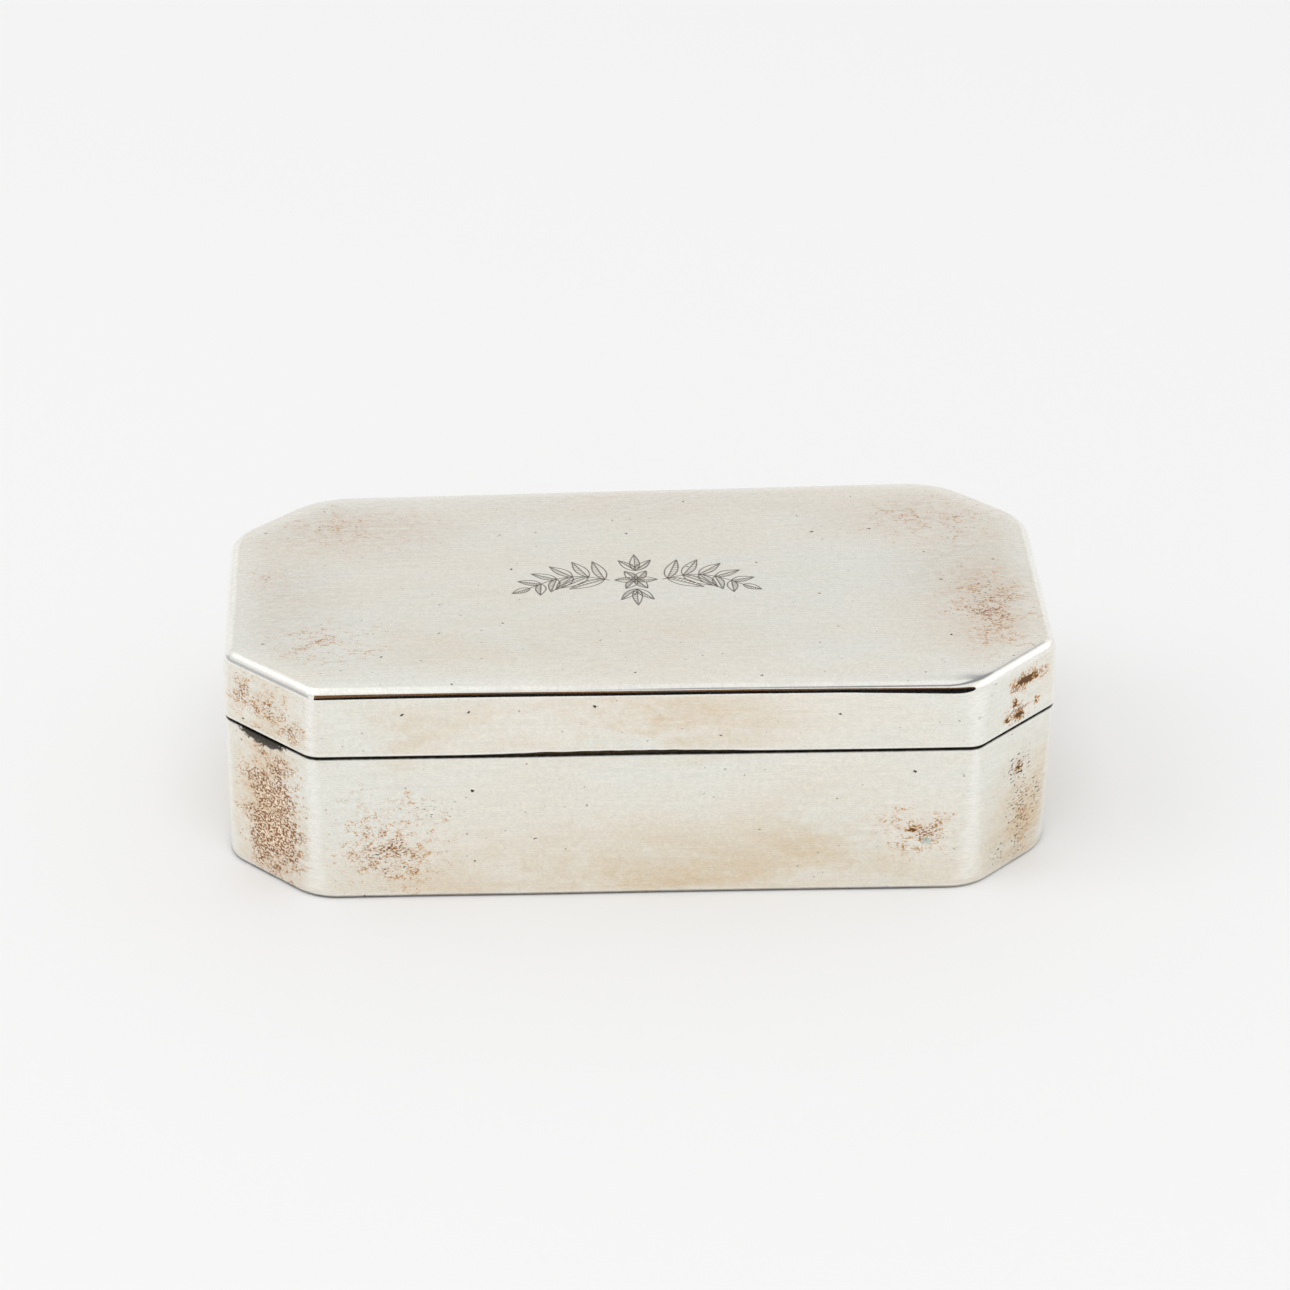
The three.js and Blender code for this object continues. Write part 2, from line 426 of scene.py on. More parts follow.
# Where a tan film lies
filmSpots = [
    (2, -21, 0, 38, 4, 9.5, 1.25),
    (17, -21, 4.5, 15, 3, 8, 1),
    (-2, -21, 19, 21, 3, 5.5, 1.55),
    (-25, -21, 18, 14, 3, 5, 0.8),
    (37.2, -15.6, 3, 7.5, 7.5, 13, 1.6),
    (-36, -16.8, 8, 7.5, 7.5, 14, 1.2),
    (-35.6, -17.2, 17.8, 8, 8, 6.5, 1.5),
    (-6, -13, 22, 24, 7, 4, 0.6),
    (34.4, -5, 22.9, 9, 14, 4, 0.55),
    (0, 21, 4, 38, 3, 8, 0.9),
    (-40, 0, 4, 3, 16, 8, 0.9),
    (40, 0, 4, 3, 16, 8, 0.9),
]
# Where a brown-grey haze dulls the top
hazeSpots = [
    (-29, 13, 22.9, 17, 11, 4, 1),
    (-34.5, -2, 22.9, 8, 18, 4, 0.8),
    (33, 0, 22.9, 11, 20, 4, 1),
    (29, 13, 22.9, 15, 8, 4, 0.9),
    (0, 18.5, 22.9, 36, 6, 4, 0.75),
]
# Where pits lie close together
pittedSpots = [
    (36.2, -16.6, 10.6, 2.6, 2.6, 2.8, 1.3),
    (36.5, -16.3, 5.6, 2.6, 2.6, 9.5, 1),
    (34.5, -18.3, 2.4, 2.4, 2.4, 3, 0.7),
    (38.4, -14.4, 7, 2.2, 2.2, 4, 0.8),
    (35.8, -17, 16.8, 2.6, 2.6, 1.8, 0.8),
    (-20, -21, 9.8, 4, 2.5, 2, 0.6),
    (-24, -21, 4, 6, 2.5, 4, 0.5),
    (34, -4, 22.9, 5, 6, 3, 0.55),
    (-20, 20.5, 8, 12, 2.5, 5, 0.6),
]
# Where a dark crust is left
crustSpots = [
    (36.7, -16.1, 20.15, 3.3, 3.3, 0.8, 1),
    (35.5, -17.3, 18.2, 0.9, 0.9, 1, 0.85),
    (35.9, -16.9, 16.7, 1.3, 1.3, 0.9, 0.95),
    (34.7, -18.1, 16.8, 1, 1, 0.8, 0.7),
    (37.8, -15, 17.3, 0.9, 0.9, 1.2, 0.7),
    (36.2, -16.6, 10.7, 0.8, 0.8, 0.9, 0.8),
    (25.6, -21.1, 6.8, 1.6, 1.5, 1, 0.6),
    (-20, 21, 6, 3.6, 1.5, 1.8, 0.42),
]
darkPatchSpots = [(-36.3, -16.4, 15.95, 5.6, 5.6, 2.3, 1.5)]  # a dark grey patch under the lip of the lid on the front left cant
verdigrisSpots = [(27, -21.1, 5.4, 0.75, 1.2, 0.6, 1), (34.6, -6, 22, 0.8, 0.9, 1, 0.7)]

silverLook = {
    "clean": (0.874, 0.838, 0.757, 1),
    "cool": (0.858, 0.856, 0.79, 1),
    "film": (0.785, 0.655, 0.485, 1),
    "haze": (0.68, 0.582, 0.49, 1),
    "scoured": (1.0, 0.84, 0.655, 1),
    "rubbed": (0.965, 0.955, 0.9, 1),
    "eatenLight": (0.64, 0.335, 0.12, 1),
    "eatenDark": (0.275, 0.108, 0.028, 1),
    "pit": (0.045, 0.035, 0.027, 1),
    "cut": (0.085, 0.068, 0.05, 1),
    "darkPatch": (0.062, 0.062, 0.066, 1),
    "verdigris": (0.42, 0.6, 0.55, 1),
    # painted shade: near-black laid in the seam and along the foot
    "grime": (0.02, 0.014, 0.01, 1),
    "crust": (0.14, 0.068, 0.028, 1),
    "hollow": (0.46, 0.36, 0.25, 1),
}


def makeSilver():
    material, place = startMetal("agedSilver")
    sheet = put("UVMap", uv_map="sheet").outputs[0]
    edge, cut, shadeAmount = (mark(name) for name in ("edge", "cut", "grime"))
    # painted shade where the pieces mark it, in the seam and at the foot, a little uneven
    grime = times(shadeAmount, ramp(noise(place, 1.3, 4, 0.65), 0.36, 0.6, 0.88, 1))
    kept = calc("SUBTRACT", 1.0, edge, clamp=True)
    look = silverLook

    # tan film: broad clouds drawn out along the box, held to their patches and broken by a finer noise
    broad = noise(place, (0.06, 0.13, 0.13), 5, 0.6, 0.6)
    fine = noise(sheet, (0.55, 1.1, 1), 5, 0.62)
    cloud = ramp(plus(times(broad, 0.7), times(fine, 0.3)), 0.34, 0.66)
    film = times(cloud, plus(patches(place, filmSpots), 0.1), kept)

    # haze: short streaks along the box
    streaky = noise(sheet, (0.8, 2, 1), 5, 0.72, 0.4)
    haze = times(ramp(streaky, 0.36, 0.64, 0.25, 1), patches(place, hazeSpots), kept)

    # eaten silver: thin lines where a noise passes its middle value,
    # wider and closer in the heart of a patch
    torn = noise(place, (0.3, 0.42, 0.42), 4, 0.65)
    ragged = times(patches(place, eatenSpots), ramp(torn, 0.3, 0.62, 0.25, 1))
    tangle = noise(sheet, (1.9, 2.7, 1), 2, 0.6, 0.7)
    fromMiddle = calc("ABSOLUTE", calc("SUBTRACT", tangle, 0.5))
    halfWidth = times(calc("MINIMUM", ragged, 0.9), 0.122)
    lines = ramp(calc("SUBTRACT", halfWidth, fromMiddle), -0.007, 0.014)
    breaks = noise(sheet, (0.9, 1.5, 1), 3, 0.6)
    gate = ramp(plus(breaks, times(ragged, 0.35)), 0.56, 0.74)
    lace = ramp(noise(sheet, (3.3, 4.4, 1), 1, 0.5), 0.42, 0.54, 0.22, 1)
    eaten = times(lines, gate, lace, kept)

    # pits: large ones, small ones at half strength, and dashes where they lie close
    uneven = shaken(sheet, 3.0, 0.55)
    large, small = specks(uneven, (6, 4), 0.6, 0.032), specks(uneven, (1.9, 1.3), 0.3, 0.065)
    close = patches(place, pittedSpots)
    dashes = noise(sheet, (1.7, 4.4, 1), 3, 0.62)
    pitted = times(ramp(plus(dashes, times(close, 0.12)), 0.655, 0.7), ramp(close, 0.08, 0.35))
    pits = times(larger(larger(large, times(small, 0.5)), pitted), kept)

    # clean metal with a slow cool cast, under film, haze and rubbed edges whose brightness is partly a
    # painted highlight, all toned by brushing along the box
    cast = ramp(noise(place, (0.05, 0.09, 0.11), 3, 0.6), 0.42, 0.62)
    colour = layered(look, look["clean"], cool=cast, film=film,
                     haze=times(haze, 0.7), rubbed=times(edge, 0.75))
    brush = noise(sheet, (0.16, 4.2, 1), 4, 0.7)
    mottle = noise(sheet, 1.5, 4, 0.65)
    grain = noise(sheet, (3.2, 6, 1), 2, 0.6)
    tone = ramp(plus(times(brush, 0.3), times(mottle, 0.3), times(grain, 0.4)), 0.38, 0.62, 0.91, 1.055)
    grey = put("CombineColor", {0: tone, 1: tone, 2: tone}).outputs[0]
    colour = blendColour(1.0, colour, grey, "MULTIPLY")

    # what eats the metal or lies on it, from the first to the last, then the painted shade of the seam and
    # the foot; heights are in millimetres
    scoured = times(ramp(ragged, 0.6, 1.4), kept)
    rust = blendColour(ramp(times(gate, lines, ragged), 0.25, 0.95), look["eatenLight"], look["eatenDark"])
    crusty = plus(times(patches(place, crustSpots), 0.7), tangle)
    crustRim, crust = times(ramp(crusty, 0.74, 0.86), kept), times(ramp(crusty, 0.84, 0.94), kept)
    green = times(ramp(patches(place, verdigrisSpots), 0.2, 0.6), ramp(mottle, 0.35, 0.6))
    height = axesOf(place)[2]
    # a dark grey patch under the lip on the front left cant, darkening to the painted shade's colour
    # towards the seam
    rubbedOn = times(patches(place, darkPatchSpots), ramp(height, 15.55, 15.5))
    darkPatch = ramp(plus(rubbedOn, times(tangle, 0.9)), 0.84, 1.08)
    darkPatchTone = blendColour(ramp(height, 14.3, 15.2), look["darkPatch"], look["grime"])
    colour = blendColour(times(eaten, 0.95), layered(look, colour, scoured=scoured), rust)
    colour = layered(look, colour, eatenLight=crustRim, crust=crust, pit=times(pits, 0.97), verdigris=green)
    colour = layered(look, blendColour(times(darkPatch, 0.94), colour, darkPatchTone), cut=cut, grime=grime)

    polish = ramp(brush, 0.3, 0.7, 0.16, 0.24)
    rough = plus(polish, times(film, 0.08), times(eaten, 0.2), times(grime, 0.5), times(edge, -0.11))
    relief = plus(times(brush, 0.1), times(pits, -1.0), times(eaten, -0.35))
    endMetal(colour, rough, relief, depth=0.04 * mm)
    return material


# Silver of the hinge: darker in scattered patches, rubbed bright on the knuckles
def makeHingeSilver():
    material, place = startMetal("hingeSilver")
    cloud = ramp(noise(place, 0.35, 5, 0.62), 0.42, 0.68)
    dull = times(ramp(noise(place, (0.5, 1.6, 1.6), 4, 0.6), 0.5, 0.7), 0.45)
    colour = layered(silverLook, silverLook["clean"], film=cloud, hollow=dull)
    turned = noise(place, (5, 0.4, 0.4), 3, 0.6)
    rough = plus(ramp(turned, 0.3, 0.7, 0.2, 0.34), times(mark("edge"), -0.08))
    endMetal(colour, rough, turned, 0.25)
    return material


giltLook = {"gold": (0.83, 0.6, 0.27, 1), "worn": (0.84, 0.79, 0.68, 1), "dull": (0.42, 0.27, 0.11, 1)}


# Gilt wash of the inside; where a depth Y is given, it is painted dark behind it, a painted shade in the
# gap at the hinge
def makeGilt(name, shadedBehind=None):
    material, place = startMetal(name)
    broad = noise(place, 0.16, 5, 0.62, 0.7)
    worn = calc("ADD", ramp(broad, 0.56, 0.76, 0, 0.5), times(mark("edge"), 0.6), clamp=True)
    dull = times(ramp(noise(place, 1.6, 4, 0.6), 0.52, 0.72), ramp(broad, 0.5, 0.35, 0.15, 0.7))
    colour = layered(giltLook, giltLook["gold"], worn=worn, dull=dull)
    # painted shade in the seam
    colour = layered(silverLook, colour, grime=mark("grime"))
    if shadedBehind is not None:
        # painted shade behind the hinge axis, in the engraving's dark colour
        colour = layered(silverLook, colour, cut=ramp(axesOf(place)[1], shadedBehind, shadedBehind + 0.5))
    scratch = noise(place, (0.3, 2.6, 2.6), 4, 0.7, 0.4)
    endMetal(colour, ramp(scratch, 0.3, 0.7, 0.22, 0.38), scratch)
    return material


steelLook = {"bright": (0.34, 0.33, 0.31, 1), "rust": (0.19, 0.11, 0.06, 1)}


def makeSteel():
    material, place = startMetal("pinSteel")
    rust = ramp(noise(place, 1.1, 4, 0.65), 0.5, 0.7)
    endMetal(blendColour(rust, steelLook["bright"], steelLook["rust"]), ramp(rust, 0, 1, 0.3, 0.55))
    return material


silver = makeSilver()
hingeSilver = makeHingeSilver()
gilt = makeGilt("giltWash")
bearerGilt = makeGilt("bearerGilt", (axisY - 0.6 * barrelRadius) / mm)
steel = makeSteel()
print("materials made")


# Engraving on the lid: a flower between two leafy sprigs

engraving = {
    "outline": 0.085 * mm,  # half the width of a cut
    "hatch": 0.058 * mm,
    "depth": 0.045 * mm,
    "room": (12.4 * mm, 7.0 * mm),  # half the field that holds it
}
leaf = {
    "points": 13,
    "belly": 0.8,  # power that carries the widest place along the leaf
    "vein": 0.9,  # share of the length
    "hatchLines": 8,
    "hatched": (0.14, 0.86),  # shares of the length where hatching starts and ends
    "slant": 0.07,  # and how far each line of it leans
}
sprig = {
    "start": 2.6 * mm,  # from the middle to the root of each stem
    "reach": 10.4 * mm,  # and to its tip
    "arch": 1.5 * mm,
    "droop": 0.9,
    "points": 20,
    "leaves": 5,  # on each side of a stem
    "leafy": (0.06, 0.86),  # shares of the stem where leaves start and end
    "leafSize": (4.1 * mm, 1.25 * mm),
    "lean": 0.9,  # of the leaves from the stem
    "shorten": 0.5,  # how much shorter they would be at the tip
    "tip": (-0.55, 0.5, 0.75),  # heading, length and width of the last leaf
}
flower = {
    "petals": 6,
    "petalSize": (2.1 * mm, 1.05 * mm),
    "bud": (1.9 * mm, 3.4 * mm, 0.95 * mm),  # from the middle, length and width
    "budLeaves": ((-0.62, 0.8), (0, 1), (0.62, 0.8)),  # lean and size
}


def strokesAlong(points, half):
    return np.hstack([points[:-1], points[1:], np.full((len(points) - 1, 1), half)])


# A leaf: two bowed edges, a vein and short hatching on one half,
# laid out along its own axis and then turned
def leafStrokes(root, heading, length, width, shaded=-1):
    def onEdge(share, side):
        return np.stack([share * length, side * width / 2 * np.sin(np.pi * share ** leaf["belly"])], -1)

    t = np.linspace(0, 1, leaf["points"])
    vein = np.stack([t * length * leaf["vein"], 0 * t], -1)
    u = np.linspace(*leaf["hatched"], leaf["hatchLines"])
    foot = np.stack([u * length, 0 * u], -1)
    parts = [strokesAlong(line, engraving["outline"]) for line in (onEdge(t, 1), onEdge(t, -1), vein)]
    tip, half = onEdge(u + leaf["slant"], shaded), np.full((len(u), 1), engraving["hatch"])
    parts.append(np.hstack([foot, tip, half]))
    strokes = np.vstack(parts)
    c, s = math.cos(heading), math.sin(heading)
    turn = np.array([[c, s], [-s, c]])
    for ends in (slice(0, 2), slice(2, 4)):
        strokes[:, ends] = strokes[:, ends] @ turn + root
    return strokes


# One sprig: an arched stem from the flower outwards, with leaves in pairs that shorten to the tip
def sprigStrokes(side):
    long, wide = sprig["leafSize"]

    def stem(s):
        x = sprig["start"] + s * (sprig["reach"] - sprig["start"])
        return np.stack([x, sprig["arch"] * (np.sin(math.pi * s) - sprig["droop"] * s)], -1)

    parts = [strokesAlong(stem(np.linspace(0, 1, sprig["points"])), engraving["outline"])]
    for share in np.linspace(*sprig["leafy"], sprig["leaves"]):
        root, ahead = stem(np.array([share, share + 0.01]))
        heading = math.atan2(*(ahead - root)[::-1])
        size = 1 - sprig["shorten"] * share
        for hand in (1, -1):
            parts.append(leafStrokes(root, heading + hand * sprig["lean"], size * long,
                                     (0.6 + 0.4 * size) * wide, -hand))
    heading, length, width = sprig["tip"]
    parts.append(leafStrokes(stem(np.array([1.0]))[0], heading, length * long, width * wide))
    strokes = np.vstack(parts)
    strokes[:, [0, 2]] *= side
    return strokes


# The flower: petals round the middle, and a bud of three leaves above and below it
def flowerStrokes():
    turns = np.arange(flower["petals"]) * 2 * math.pi / flower["petals"]
    parts = [leafStrokes(np.zeros(2), turn, *flower["petalSize"]) for turn in turns]
    away, length, width = flower["bud"]
    for up in (1, -1):
        root = np.array([0, up * away])
        for lean, size in flower["budLeaves"]:
            parts.append(leafStrokes(root, up * quarter + lean, size * length, width))
    return np.vstack(parts)


# How deep the cuts are at each plan point, 0 to 1: a V across every stroke, the deepest kept
def cutDepth(x, y):
    deepest = np.zeros_like(x)
    for x0, y0, x1, y1, half in np.vstack([sprigStrokes(1), sprigStrokes(-1), flowerStrokes()]):
        dx, dy = x1 - x0, y1 - y0
        share = np.clip(((x - x0) * dx + (y - y0) * dy) / (dx * dx + dy * dy), 0, 1)
        away = np.hypot(x - x0 - share * dx, y - y0 - share * dy)
        deepest = np.maximum(deepest, 1 - away / half)
    return deepest


# Plate of the lid

lidPlate = {
    "edgeRadius": 1.05 * mm,
    "softDrop": 0.34 * mm,  # the top rolls off gently before its rounded edge
    "softReach": 6.0 * mm,
    "crown": 0.12 * mm,
    "thickness": 0.8 * mm,
    "innerRadius": 0.4 * mm,
    "steps": (272, 144, 20, 10),
    "underShares": (0.25, 0.6, 1.0),
    "bendRows": 4,
    "skirtRows": 4,
    "edgeRows": 12,
    "topRows": 15,
    "gather": 1.4,  # power that gathers the rows of the top at its edge
    "edgeWear": (1.5, 1.2),  # strength, and power of the sine of twice the turn
    "topWear": (0.4, 4),  # at the edge of the top, and how fast it ends
}


# Height of the top face: a low crown that rolls off towards the edge
def topHeight(x, y):
    crown = lidPlate["crown"] * (1 - (x / lidHalf[0]) ** 2) * (1 - (y / lidHalf[1]) ** 2)
    gap = edgeDistance(x, y) - lidPlate["edgeRadius"]
    roll = np.clip(1 - gap / lidPlate["softReach"], 0, 1.1) ** 2
    return lidTop + crown - lidPlate["softDrop"] * roll


def makeLidPlate():
    track = makeTrack(*lidPlate["steps"])
    low, radius, bend = plateLow[2], lidPlate["edgeRadius"], lidPlate["innerRadius"]
    under = lidTop - lidPlate["thickness"]
    shoulder = lidTop - lidPlate["softDrop"] - radius
    inside = planShape["sheet"] + handWork["flare"]
    rows, edge = [], []

    def add(row, wear=0.0):
        rows.append(row)
        edge.append(wear)

    def ring(inset, z):
        plan = planPoint(inset, z, track)
        wave = wander(*plan.T, z)
        return raised(planPoint(inset + wave, z, track), z)

    inner = planPoint(inside + bend, under, track)
    for share in lidPlate["underShares"]:
        add(raised(inner * share, under))
    for turn in np.linspace(0, quarter, lidPlate["bendRows"] + 1)[1:]:  # round into the skirt
        add(ring(inside + bend * (1 - math.sin(turn)), under - bend * (1 - math.cos(turn))))
    add(ring(inside, low))
    insideRows = len(rows)
    for z in np.linspace(low, shoulder, lidPlate["skirtRows"]):  # skirt, upwards
        add(ring(flareInset(z), z))
    skirt = slice(insideRows, len(rows))
    lastTurn = quarter - 2 * lidPlate["softDrop"] / lidPlate["softReach"]
    strength, power = lidPlate["edgeWear"]
    for turn in np.linspace(0, lastTurn, lidPlate["edgeRows"])[1:]:  # rounded edge
        z = shoulder + radius * math.sin(turn)
        add(ring(flareInset(z) + radius * (1 - math.cos(turn)), z),
            min(1.0, strength * math.sin(2 * turn) ** power))
    outsideRows = len(rows)
    # field of the engraving, a fine grid whose rim is the last ring
    halfX, halfY = engraving["room"]
    across = np.linspace(halfX, -halfX, track["longRun"] + 1)
    down = np.linspace(-halfY, halfY, track["sideRun"] + 1)
    gridX, gridY = np.meshgrid(across, down, indexing="ij")
    cut = cutDepth(gridX, gridY)
    field = np.stack([gridX, gridY, topHeight(gridX, gridY) - engraving["depth"] * cut], -1)
    fieldIndex = numbered(cut.shape)
    rim = np.concatenate([fieldIndex[0, :-1], fieldIndex[:-1, -1],
                          fieldIndex[-1, :0:-1], fieldIndex[:0:-1, 0]])
    rimPlan = field.reshape(-1, 3)[rim, :2]
    outer = rows[-1][:, :2]
    strength, speed = lidPlate["topWear"]
    for share in np.linspace(0, 1, lidPlate["topRows"] + 1)[1:-1] ** lidPlate["gather"]:  # top, inwards
        plan = outer + (rimPlan - outer) * share
        add(raised(plan, topHeight(*plan.T)), max(0.0, strength - share * speed))
    rings = np.stack(rows)
    points = np.concatenate([rings.reshape(-1, 3), field.reshape(-1, 3), [[0, 0, under]]])
    ringIndex = numbered(rings.shape[:2])
    index = np.vstack([ringIndex, rim + ringIndex.size])
    outside = slice(insideRows - 1, outsideRows)
    faces = [
        (fan(len(points) - 1, ringIndex[0], True), 1),
        (ringQuads(index[:insideRows]), 1),
        (ringQuads(index[outside]), 0, bandSheet(track, rings[outside, :, 2])),
        (ringQuads(index[outsideRows - 1:]), 0),
        (ringQuads(fieldIndex + ringIndex.size, False, False), 0),
    ]
    cutShade = np.clip(1.5 * cut.ravel(), 0, 1)
    attributes = {
        "edge": np.append(rubbed(edge, skirt, track), np.zeros(cut.size + 1)),
        "cut": np.concatenate([np.zeros(ringIndex.size), cutShade, [0]]),
    }
    makePiece("lidPlate", "lid", "lid_plate", rack(points), faces, [silver, gilt], attributes)


makeLidPlate()
print("lid plate made")


# Bands of the lid and the base

bandSteps = (150, 60, 72, 12)
rimEdge = 0.13 * mm  # rounding of the rims along the seam
roundRows = 4  # rows of a quarter round
hingeFit = 0.1 * mm
halfSwing = math.radians(lidHinge["range_deg"][1] / 2)
barrelRoom = barrelRadius + hingeFit
notchHalf = (barrelRadius + overhang) * math.tan(halfSwing) + hingeFit


# Half the height that is cut out round the hinge at a depth Y:
# the barrel's room, and a square notch behind its axis
def cutAway(y):
    behind = y - axisY
    barrel = np.sqrt(np.maximum(barrelRoom**2 - behind**2, 0))
    return np.where(behind >= 0, notchHalf, barrel)


# Points and heights of a profile carried round the plan between two heights given at X and Y.
# Each row has an inset, a share from low to high and a lift.
def carryProfile(track, rows, span, low, high, drawIn=lambda z: 0):
    inset, share, lift = rows.T[..., None] + 0 * track["along"]
    flat = planPoint(inset, span[0] + share * (span[1] - span[0]) + lift, track)
    x, y = flat[..., 0], flat[..., 1]
    z = low(x, y) + share * (high(x, y) - low(x, y)) + lift
    drawn = inset + drawIn(z) + wander(x, y, z)
    return raised(planPoint(drawn, z, track), z), z


# Rows of a quarter round between two faces of a band, as inset and lift from its corner
def cornerRows(inset, share, radius, fromAngle, toAngle, inwards, upwards):
    turns = np.linspace(fromAngle, toAngle, roundRows)
    return np.stack([inset + inwards * radius * (1 - np.cos(turns)), np.full(roundRows, share),
                     upwards * radius * (1 - np.sin(turns))], -1)


# Rows of a rounded rim, from the outer face over to the inner one
def rimRows(outer, inner, radius):
    return np.vstack([cornerRows(outer, 1, radius, 0, quarter, 1, -1),
                      cornerRows(inner, 1, radius, quarter, 0, -1, -1)])


# Faces of a band: silver as far as the row where it turns in, gilt inside, the last row closed to the first
def bandFaces(track, z, turnIn, closing):
    index = numbered(z.shape)
    return [
        (ringQuads(index[:turnIn + 1]), 0, bandSheet(track, z[:turnIn + 1])),
        (ringQuads(index[turnIn:]), 1),
        (ringQuads(index[[-1, 0]]), closing),
    ]


lidRim = {
    "outerShares": np.append(0.026, np.linspace(0.06, 1, 9)),
    # painted shade of the seam on the lip's outer rounding and on its inner one
    "lipShade": [0.6, 0.55, 0.4, 0.15],
    "innerShade": [0.1, 0.15, 0.25, 0.3],
    # the lip's rounding rubbed bright: partly wear, partly a painted highlight line above the seam
    "lipWearAndSheen": [0, 0, 0.3, 1.0, 0.9],
    "lift": 0.2 * mm,  # the front lip is sprung open by use
    "middle": -2.4 * mm,
    "reach": 11.0 * mm,
    "ragged": 0.035 * mm,
}


# Lower edge of the lid: raised in the middle of the front, with a ragged lip, and over the hinge
def lipHeight(x, y):
    sprung = np.exp(-(((x - lidRim["middle"]) / lidRim["reach"]) ** 4))
    ragged = np.sin(x / (1.1 * mm) + 2 * np.sin(x / (2.7 * mm))) * np.sin(x / (0.63 * mm) + 1)
    lifted = (lidRim["lift"] + lidRim["ragged"] * ragged) * sprung * (y < 0)
    return np.maximum(lidLow + lifted, axisZ + cutAway(y))


def makeLidRim():
    track = makeTrack(*bandSteps)
    sheet, shares, top = planShape["sheet"], lidRim["outerShares"], plateLow[2]
    rows = np.vstack([
        cornerRows(0, 0, rimEdge, quarter, 0, 1, 1),
        [[0, share, 0] for share in shares],
        [[sheet, 1, 0], [sheet, 0.5, 0]],
        cornerRows(sheet, 0, rimEdge, 0, quarter, -1, 1),
    ])
    grime = np.concatenate([lidRim["lipShade"], np.zeros(len(shares) + 2), lidRim["innerShade"]])
    edge = np.append(lidRim["lipWearAndSheen"], np.zeros(len(rows) - len(lidRim["lipWearAndSheen"])))
    points, z = carryProfile(track, rows, (lidLow, top), lipHeight, lambda x, y: top, flareInset)
    turnIn = roundRows + len(shares)
    attributes = {"grime": grime, "edge": rubbed(edge, slice(turnIn), track)}
    makePiece("lidRim", "lid", "lid_rim",
              rack(points), bandFaces(track, z, turnIn, 0), [silver, gilt], attributes)


baseWall = {
    "outerShares": np.append(np.linspace(0, 0.97, 16), 0.986),
    # painted shade of the seam on the base's top rim
    "rimShade": [0.15, 0.7, 0.97, 1.0, 0.6, 0.4, 0.2, 0.1],
    "rimWear": [0.6, 0.6, 0.3, 0, 0, 0, 0, 0],
}


def makeBaseWall():
    track = makeTrack(*bandSteps)
    outer, inner, shares = overhang, overhang + planShape["sheet"], baseWall["outerShares"]
    foot, top = wallLow[2], wallHigh[2]
    rows = np.vstack([
        [[outer, share, 0] for share in shares],
        rimRows(outer, inner, rimEdge),
        [[inner, 0.5, 0], [inner, 0, 0]],
    ])
    grime, edge = (np.concatenate([np.zeros(len(shares)), baseWall[key], [0, 0]])
                   for key in ("rimShade", "rimWear"))

    def high(x, y):
        return np.minimum(top, axisZ - cutAway(y))

    points, z = carryProfile(track, rows, (foot, top), lambda x, y: foot, high)
    outside = len(shares) + 2 * roundRows
    attributes = {"grime": grime, "edge": rubbed(edge, slice(outside), track)}
    makePiece("baseWall", "base", "base_wall",
              points, bandFaces(track, z, outside - 1, 1), [silver, gilt], attributes)


basePlate = {
    "footRadius": 0.42 * mm,
    "footRows": 8,
    "footWear": 0.3,
    "footShade": 0.9,
    "underShares": (0.3, 0.7, 0.96),
    "floorShares": (1.0, 0.95, 0.4),
    # the painted shade at the foot is darkest along the front and the left: least share, pull of the front
    # and reach
    "shadeBias": (0.35, 1.6, -8 * mm),
}


# How far the foot of the base is drawn in at a height: a quarter round
def footInset(z):
    radius = basePlate["footRadius"]
    below = np.clip(radius - z, 0, radius)
    return radius - np.sqrt(radius**2 - below**2)


def makeBasePlate():
    track = makeTrack(*bandSteps)
    radius = basePlate["footRadius"]
    rows, edge, grime = [], [], []

    def add(z, share=1, wear=0.0, shadeAmount=0.0):
        flat = planPoint(overhang, z, track)
        drawn = overhang + footInset(z) + wander(*flat.T, z)
        rows.append(raised(planPoint(drawn, z, track) * share, z))
        edge.append(wear)
        grime.append(shadeAmount)

    for share in basePlate["underShares"]:
        add(0.0, share)
    # the foot's rounding, with a painted shade along it where the box meets the floor
    for z in radius * (1 - np.cos(np.linspace(0, quarter, basePlate["footRows"]))):
        add(z, 1, basePlate["footWear"], basePlate["footShade"] * (1 - z / radius) ** 0.5)
    for share in basePlate["floorShares"]:
        add(floorLevel, share)
    rings = np.stack(rows)
    index = numbered(rings.shape[:2])
    points = np.concatenate([rings.reshape(-1, 3), [[0, 0, 0], [0, 0, floorLevel]]])
    first = len(basePlate["underShares"])
    faces = [
        (fan(len(points) - 2, index[0], True), 0),
        (ringQuads(index[:first + 1]), 0),
        (ringQuads(index[first:-2]), 0, bandSheet(track, rings[first:-2, :, 2])),
        (ringQuads(index[-3:]), 1),
        (fan(len(points) - 1, index[-1], False), 1),
    ]
    least, pull, reach = basePlate["shadeBias"]
    x, y = planPoint(overhang, 0.0, track).T
    shadeBias = least + (1 - least) * np.clip((x + pull * y) / reach, 0, 1)
    attributes = {"edge": np.append(np.repeat(edge, len(x)), [0, 0]),
                  "grime": np.append(np.outer(grime, shadeBias), [0, 0])}
    makePiece("basePlate", "base", "base_plate", points, faces, [silver, gilt], attributes)


bezel = {
    "thickness": 0.5 * mm,
    "round": 0.15 * mm,
    "outerShares": (0, 0.67, 0.79),
    "innerShares": (0.6, 0),
    # painted shade of the seam on the outer face behind it
    "outerShade": [0.65, 0.6, 0.1],
    "rimWear": 0.8,
}


